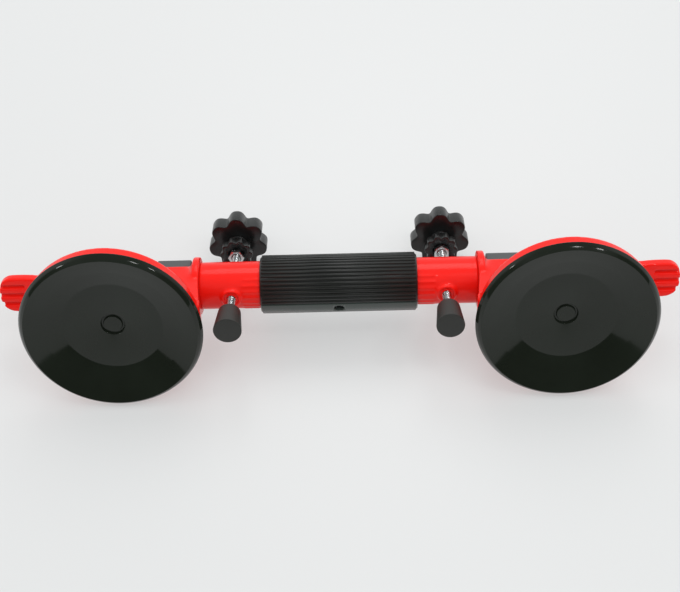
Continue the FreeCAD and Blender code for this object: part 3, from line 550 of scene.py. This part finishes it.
# Rubber off the extruder: a soft sheen on the ribs, and the strip as smooth as its die, with a
# lighter base colour there that is a painted sheen. The smoothness and the painted sheen end where
# the first ribs start, about half the strip's angle to each side.
strip_edge, strip_full = 0.55, 0.48
strip_roughness = 0.17
grip_rubber = worn_finish("extruded_grip_rubber", "121412", "1B1D1B", rough=(0.3, 0.42),
                          grain=0.0009, relief=0.00005, IOR=1.5)
tree = grip_rubber.node_tree
shader = next(node for node in tree.nodes if node.type == "BSDF_PRINCIPLED")
ribbed_dull = shader.inputs["Roughness"].links[0].from_socket
ribbed_tone = shader.inputs["Base Color"].links[0].from_socket
place = add_node(tree, "ShaderNodeTexCoord")
arm = add_node(tree, "ShaderNodeVectorMath", {"operation": "SUBTRACT", 1: bar_centre},
               {0: place.outputs["Object"]})
flat = add_node(tree, "ShaderNodeVectorMath", {"operation": "MULTIPLY", 1: (0, 1, 1)},
                {0: arm.outputs[0]})
aim = add_node(tree, "ShaderNodeVectorMath", {"operation": "NORMALIZE"}, {0: flat.outputs[0]})
facing = add_node(tree, "ShaderNodeVectorMath", {"operation": "DOT_PRODUCT", 1: hole_direction},
                  {0: aim.outputs[0]})
in_strip = add_node(tree, "ShaderNodeMapRange",
                    {"From Min": math.cos(strip_angle * strip_edge),
                     "From Max": math.cos(strip_angle * strip_full)},
                    {"Value": facing.outputs["Value"]})
smooth_die = add_node(tree, "ShaderNodeMix", {"data_type": "FLOAT", 3: strip_roughness},
                      {0: in_strip.outputs[0], 2: ribbed_dull})
tree.links.new(smooth_die.outputs[0], shader.inputs["Roughness"])
# Painted sheen: the strip's base colour is made lighter than the ribs' to stand in for the pale
# floor that its smooth face mirrors.
strip_painted_sheen = add_node(tree, "ShaderNodeMix", {"data_type": "RGBA", 7: linear("343B38")},
                      {0: in_strip.outputs[0], 6: ribbed_tone})
tree.links.new(strip_painted_sheen.outputs[2], shader.inputs["Base Color"])


def ring_mesh(name, reach_at, profile, matrix, segments):
    """A closed ring about Z.

    profile is a loop of (share, radius, height): a point lies out from the axis by share times
    the outline's reach at its angle, plus radius.
    """
    count = len(profile)
    points = []
    for index in range(segments):
        angle = 2 * math.pi * index / segments
        reach = reach_at(angle)
        points += [((share * reach + r) * math.cos(angle),
                    (share * reach + r) * math.sin(angle), z) for share, r, z in profile]
    faces = []
    for index in range(segments):
        here, there = index * count, (index + 1) % segments * count
        faces += [(here + k, there + k, there + (k + 1) % count, here + (k + 1) % count)
                  for k in range(count)]
    mesh = bpy.data.meshes.new(name)
    mesh.from_pydata(points, [], faces)
    mesh.transform(matrix)
    merge_points(mesh, 1e-7)
    face_outward(mesh)
    return mesh


def sleeve_reach(angle):
    """The sleeve's radius under the ribs, and out to the crests over the smooth strip."""
    off = abs((angle + math.pi) % (2 * math.pi) - math.pi)
    return grip_crest if off < strip_angle / 2 else grip_crest - rib_height


def rib_group():
    """Ribs laid round the X axis over the sleeve that comes in, leaving the strip free."""
    group = bpy.data.node_groups.new("ribs_round_sleeve", "GeometryNodeTree")
    sockets = {}
    for label, kind in (("Sleeve", "Geometry"), ("Ribs", "Int"), ("Seat Radius", "Float"),
                        ("Rib Radius", "Float"), ("Rib Flatness", "Float"),
                        ("Rib Length", "Float"), ("Strip Angle", "Float"),
                        ("Rubber", "Material")):
        sockets[label] = group.interface.new_socket(
            label, in_out="INPUT", socket_type="NodeSocket" + kind).identifier
    group.interface.new_socket("Grip", in_out="OUTPUT", socket_type="NodeSocketGeometry")
    given = add_node(group, "NodeGroupInput")
    free = add_node(group, "ShaderNodeMath", {"operation": "SUBTRACT", 0: 2 * math.pi},
                    {1: given.outputs["Strip Angle"]})
    pitch = add_node(group, "ShaderNodeMath", {"operation": "DIVIDE"},
                     {0: free.outputs[0], 1: given.outputs["Ribs"]})
    index = add_node(group, "GeometryNodeInputIndex")
    place = add_node(group, "ShaderNodeMath", {"operation": "ADD", 1: 0.5},
                     {0: index.outputs[0]})
    turn = add_node(group, "ShaderNodeMath", {"operation": "MULTIPLY"},
                    {0: place.outputs[0], 1: pitch.outputs[0]})
    angle = add_node(group, "ShaderNodeMath", {"operation": "MULTIPLY_ADD", 1: 0.5},
                     {0: given.outputs["Strip Angle"], 2: turn.outputs[0]})
    cosine = add_node(group, "ShaderNodeMath", {"operation": "COSINE"}, {0: angle.outputs[0]})
    sine = add_node(group, "ShaderNodeMath", {"operation": "SINE"}, {0: angle.outputs[0]})
    spoke = add_node(group, "ShaderNodeCombineXYZ", {},
                     {"Y": cosine.outputs[0], "Z": sine.outputs[0]})
    seat = add_node(group, "ShaderNodeVectorMath", {"operation": "SCALE"},
                    {0: spoke.outputs[0], "Scale": given.outputs["Seat Radius"]})
    row = add_node(group, "GeometryNodeMeshLine", {}, {"Count": given.outputs["Ribs"]})
    seats = add_node(group, "GeometryNodeSetPosition", {},
                     {"Geometry": row.outputs[0], "Position": seat.outputs[0]})
    bar = add_node(group, "GeometryNodeMeshCylinder", {"Vertices": 16, "Side Segments": 1},
                   {"Radius": given.outputs["Rib Radius"], "Depth": given.outputs["Rib Length"]})
    lying = add_node(group, "GeometryNodeTransform", {"Rotation": (0, math.pi / 2, 0)},
                     {"Geometry": bar.outputs[0]})
    squash = add_node(group, "ShaderNodeCombineXYZ", {"X": 1.0, "Z": 1.0},
                      {"Y": given.outputs["Rib Flatness"]})
    flat_bar = add_node(group, "GeometryNodeTransform", {},
                        {"Geometry": lying.outputs[0], "Scale": squash.outputs[0]})
    roll = add_node(group, "ShaderNodeCombineXYZ", {}, {"X": angle.outputs[0]})
    ribs = add_node(group, "GeometryNodeInstanceOnPoints", {},
                    {"Points": seats.outputs[0], "Instance": flat_bar.outputs[0],
                     "Rotation": roll.outputs[0]})
    real = add_node(group, "GeometryNodeRealizeInstances", {}, {0: ribs.outputs[0]})
    both = add_node(group, "GeometryNodeJoinGeometry")
    group.links.new(real.outputs[0], both.inputs[0])
    group.links.new(given.outputs["Sleeve"], both.inputs[0])
    dressed = add_node(group, "GeometryNodeSetMaterial", {},
                       {"Geometry": both.outputs[0], "Material": given.outputs["Rubber"]})
    result = add_node(group, "NodeGroupOutput")
    group.links.new(dressed.outputs[0], result.inputs[0])
    return group, sockets


# The sleeve is turned about Z and laid along the bar, with its strip to +Y. Two extra rings at
# the tommy hole's sides keep the shading even round it.
to_bar = Matrix.Rotation(math.pi / 2, 4, "Y") @ Matrix.Rotation(math.pi / 2, 4, "Z")
to_strip = Matrix.Rotation(-math.pi / 2, 4, "X")
tip = grip_half - grip_chamfer
hole_side = 0.0045
sleeve_loop = [(0, grip_bore, -grip_half), (1, -grip_chamfer, -grip_half), (1, 0, -tip),
               (1, 0, -hole_side), (1, 0, hole_side), (1, 0, tip),
               (1, -grip_chamfer, grip_half), (0, grip_bore, grip_half)]
sleeve_mesh = ring_mesh("grip_sleeve_blank", sleeve_reach, sleeve_loop, to_bar, segments=360)
sleeve = bpy.data.objects.new("grip_sleeve_blank", sleeve_mesh)
bpy.context.scene.collection.objects.link(sleeve)
drill_core, drill_reach = 1e-5, 0.03
drill_loop = [(0, drill_core, 0), (1, 0, 0), (1, 0, drill_reach), (0, drill_core, drill_reach)]
drill_mesh = ring_mesh("tommy_drill", lambda angle: hole_radius, drill_loop, to_strip,
                       segments=48)
drill = bpy.data.objects.new("tommy_drill", drill_mesh)
bpy.context.scene.collection.objects.link(drill)
bore = sleeve.modifiers.new("tommy_hole", "BOOLEAN")
bore.operation = "DIFFERENCE"
bore.solver = "EXACT"
bore.object = drill
ribs = sleeve.modifiers.new("ribs", "NODES")
group, sockets = rib_group()
ribs.node_group = group
for label, value in (("Ribs", rib_count), ("Seat Radius", grip_crest - rib_height),
                     ("Rib Radius", rib_width), ("Rib Flatness", rib_height / rib_width),
                     ("Rib Length", 2 * tip), ("Strip Angle", strip_angle),
                     ("Rubber", grip_rubber)):
    ribs[sockets[label]] = value
mesh = finished_mesh(sleeve)
mesh.name = "grip_sleeve_extrusion"
for blank in (sleeve, drill):
    bpy.data.objects.remove(blank)
mesh.transform(grip_frame)
piece_from("grip_sleeve_extrusion", mesh, grip_rubber, "grip", "grip_sleeve")

# ---------------------------------------------------------------------------
# Levelling screws. M6 studding with a rolled thread and bright zinc plate,
# a zinc-plated socket moulded into the foot, and a brass insert in the knob.
# ---------------------------------------------------------------------------
# Zinc plate with a clear passivate: bluish bright, slightly clouded.
zinc = worn_finish("zinc_plated_steel", "C4C8CA", "DADCDC", rough=(0.16, 0.28),
                   grain=0.0004, relief=0.000012, patch=0.008, Metallic=1.0)
# Bright drawn steel, oiled, left bare where it runs inside.
bare_steel = worn_finish("drawn_steel", "8E8F8E", "A6A6A2", rough=(0.3, 0.42),
                         grain=0.0003, relief=0.00002, patch=0.01, Metallic=1.0)
# Turned brass, dulled by handling.
turned_brass = worn_finish("turned_brass", "A8843E", "C09A50", rough=(0.3, 0.45),
                           grain=0.0004, relief=0.00002, patch=0.006, Metallic=1.0)


def threaded_mesh(name, radius, depth, pitch, start, end, matrix):
    """A rod along Z with a rolled thread: the radius rises and falls along a helix."""
    segments, rows_per_pitch = 24, 6
    flank_slope, root_share = 2.6, 0.3
    rows = int((end - start) / pitch * rows_per_pitch) + 1
    points = [(0, 0, start)]
    for row in range(rows + 1):
        z = start + (end - start) * row / rows
        fade = min(1.0, (z - start) / pitch, (end - z) / pitch)
        for index in range(segments):
            share = index / segments
            phase = (z / pitch - share) % 1.0
            flank = min(1.0, max(0.0, abs(phase - 0.5) * flank_slope - root_share))
            r = radius - depth * (1 - fade * flank)
            points.append((r * math.cos(2 * math.pi * share),
                           r * math.sin(2 * math.pi * share), z))
    points.append((0, 0, end))
    last = len(points) - 1
    faces = []
    for index in range(segments):
        after = (index + 1) % segments
        faces.append((0, 1 + after, 1 + index))
        faces += [(1 + row * segments + index, 1 + row * segments + after,
                   1 + (row + 1) * segments + after, 1 + (row + 1) * segments + index)
                  for row in range(rows)]
        faces.append((last, 1 + rows * segments + index, 1 + rows * segments + after))
    mesh = bpy.data.meshes.new(name)
    mesh.from_pydata(points, [], faces)
    mesh.transform(matrix)
    return mesh


def node_span(name, matrix):
    """The lowest and highest Z of a node in the given frame."""
    back = matrix.inverted()
    heights = [(back @ vertex.co).z for vertex in frame["nodes"][name].data.vertices]
    return min(heights), max(heights)


screw_radius = 0.003
thread_depth = 0.00055
thread_pitch = 0.001
for hand in hands:
    node = hand + "_level_screw"
    at_screw = screw_frame(hand)
    low, high = node_span(node, at_screw)
    mesh = threaded_mesh(node + "_studding", screw_radius, thread_depth, thread_pitch,
                         low, high, at_screw)
    piece_from(node + "_studding", mesh, zinc, hand + "_screw", node)
    dress([hand + "_foot_socket"], zinc)
    dress([hand + "_knob_insert"], turned_brass)

# ---------------------------------------------------------------------------
# Lock nuts. Cold-formed M6 hexagon nuts, chamfered on both faces, in bright
# zinc. The lock wheel is pressed over its nut.
# ---------------------------------------------------------------------------


def nut_mesh(name, flats, bore, low, high, matrix, turn):
    """A hexagon nut with its corners turned off at 30 degrees and a countersunk bore."""
    countersink, chamfer_share, steps_per_flat = 0.0006, 0.97, 12
    apothem = flats / 2
    chamfer_radius = apothem * chamfer_share
    slope = math.tan(math.radians(30))
    count = 6 * steps_per_flat
    rings = []
    for index in range(count):
        angle = 2 * math.pi * index / count
        reach = apothem / math.cos((angle + math.pi / 6) % (math.pi / 3) - math.pi / 6)
        drop = (reach - chamfer_radius) * slope
        direction = (math.cos(angle + turn), math.sin(angle + turn))
        outline = [(bore, low + countersink), (bore + countersink, low), (chamfer_radius, low),
                   (reach, low + drop), (reach, high - drop), (chamfer_radius, high),
                   (bore + countersink, high), (bore, high - countersink)]
        rings.append([(r * direction[0], r * direction[1], z) for r, z in outline])
    size = len(rings[0])
    points = [point for ring in rings for point in ring]
    faces = []
    for index in range(count):
        after = (index + 1) % count
        faces += [(index * size + k, after * size + k, after * size + (k + 1) % size,
                   index * size + (k + 1) % size) for k in range(size)]
    mesh = bpy.data.meshes.new(name)
    mesh.from_pydata(points, [], faces)
    mesh.transform(matrix)
    face_outward(mesh)
    return mesh


nut_flats = 0.010
bore_gap = 0.00005
nut_turns = {"left": math.radians(30), "right": 0.0}
for hand in hands:
    node = hand + "_lock_nut"
    at_screw = screw_frame(hand)
    low, high = node_span(node, at_screw)
    mesh = nut_mesh(node + "_formed", nut_flats, screw_radius + bore_gap, low, high, at_screw,
                    nut_turns[hand])
    nut = piece_from(node + "_formed", mesh, zinc, hand + "_lock", node)
    for polygon in nut.data.polygons:
        polygon.use_smooth = False

# ---------------------------------------------------------------------------
# Star knobs and lock wheels. Glass-filled nylon, moulded with rounded lobes;
# the knob is moulded round its brass insert.
# ---------------------------------------------------------------------------
# Nylon with glass fibre off a spark-eroded mould: black, with a low broken sheen.
nylon = worn_finish("black_glass_filled_nylon", "0D0E0E", "141515", rough=(0.24, 0.36),
                    grain=0.0005, relief=0.00004, patch=0.012, IOR=1.53)


def lobes(tip, depth, count, breadth, first):
    """The outline of a lobed knob, with a lobe at the angle first.

    breadth is 1 for even waves, and more for broad lobes with narrow hollows.
    """
    pitch = 2 * math.pi / count

    def reach_at(angle):
        away = abs((angle - first + pitch / 2) % pitch - pitch / 2) / (pitch / 2)
        return tip - depth * (0.5 - 0.5 * math.cos(math.pi * away ** breadth))

    return reach_at


def round_edge(height, size, along):
    """Rings of the outline's rounded edge, from the flat face at this height out to the side."""
    steps = 4
    angles = [math.pi / 2 * step / steps for step in range(steps + 1)]
    return [(1, -size * (1 - math.sin(a)), height + along * size * (1 - math.cos(a)))
            for a in angles]


# The knob: a socket for the brass insert, a low hub on its face, and the lobed body. All
# heights run from the suction plane.
knob_face, knob_back = 0.1067, 0.1202
hub_face, socket_floor = 0.1055, 0.1177
socket_radius, hub_radius, back_radius = 0.00433, 0.0066, 0.0085
knob_tip, knob_hollow, knob_lobes, knob_breadth = 0.021, 0.0043, 7, 1.4
knob_profile = ([(0, 0, socket_floor), (0, socket_radius, socket_floor),
                 (0, socket_radius, hub_face), (0, hub_radius, hub_face),
                 (0, 0.0071, 0.1059), (0, 0.0072, 0.1069), (0, 0.0077, knob_face)]
                + round_edge(knob_face, 0.0007, 1) + round_edge(knob_back, 0.0016, -1)[::-1]
                + [(0, back_radius, knob_back), (0, 0, knob_back)])
# The lock wheel: a clear hole for the screw and a shallow seat that takes its nut.
wheel_face, wheel_back = 0.0927, 0.0997
wheel_bore, seat_radius, seat_depth = 0.0032, 0.006, 0.0013
wheel_tip, wheel_hollow, wheel_lobes, wheel_breadth = 0.0116, 0.0017, 10, 1.3
wheel_profile = ([(0, wheel_bore, wheel_back), (0, wheel_bore, wheel_face + seat_depth),
                  (0, seat_radius, wheel_face + seat_depth), (0, seat_radius, wheel_face)]
                 + round_edge(wheel_face, 0.0005, 1) + round_edge(wheel_back, 0.0008, -1)[::-1])
# A knob has a lobe at the top as the tool lies, and a wheel has a hollow there.
upward = {"left": math.pi / 2, "right": -math.pi / 2}
half_a_lobe = math.radians(18)
for hand in hands:
    at_screw = screw_frame(hand)
    node = hand + "_star_knob"
    outline = lobes(knob_tip, knob_hollow, knob_lobes, knob_breadth, upward[hand])
    mesh = ring_mesh(node + "_moulding", outline, knob_profile, at_screw, segments=252)
    piece_from(node + "_moulding", mesh, nylon, hand + "_screw", node)
    node = hand + "_lock_wheel"
    outline = lobes(wheel_tip, wheel_hollow, wheel_lobes, wheel_breadth,
                    upward[hand] + half_a_lobe)
    mesh = ring_mesh(node + "_moulding", outline, wheel_profile, at_screw, segments=240)
    piece_from(node + "_moulding", mesh, nylon, hand + "_lock", node)

# ---------------------------------------------------------------------------
# Neck pads. Grey acetal pads pressed into the housing's channel, between the
# lever and the collar.
# ---------------------------------------------------------------------------
# Acetal from a vapour-blasted mould: mid grey and evenly dull.
pad_plastic = worn_finish("grey_acetal", "424546", "4D5051", rough=(0.4, 0.52),
                          grain=0.0006, relief=0.00006, patch=0.01, IOR=1.48)
for hand in hands:
    node = hand + "_neck_pad"
    mesh = cast_mesh(node + "_moulding", node, tool_frame(hand), grain=0.0006, edge_rounds=4)
    piece_from(node + "_moulding", mesh, pad_plastic, hand + "_half", node)

# ---------------------------------------------------------------------------
# Works inside the handle and the cups. The guide bar and its rings, the
# threaded spindle and bushes, and the pull plates, studs, pins and wear plates.
# ---------------------------------------------------------------------------
dress(["guide_bar", "guide_rings"], bare_steel)
dress(["spindle"], zinc)
for hand in hands:
    dress([hand + "_disc_plate", hand + "_pull_stud", hand + "_wear_plate"], zinc)
    dress([hand + "_lever_pin", hand + "_guide_plug"], bare_steel)
    dress([hand + "_thread_bush"], turned_brass)
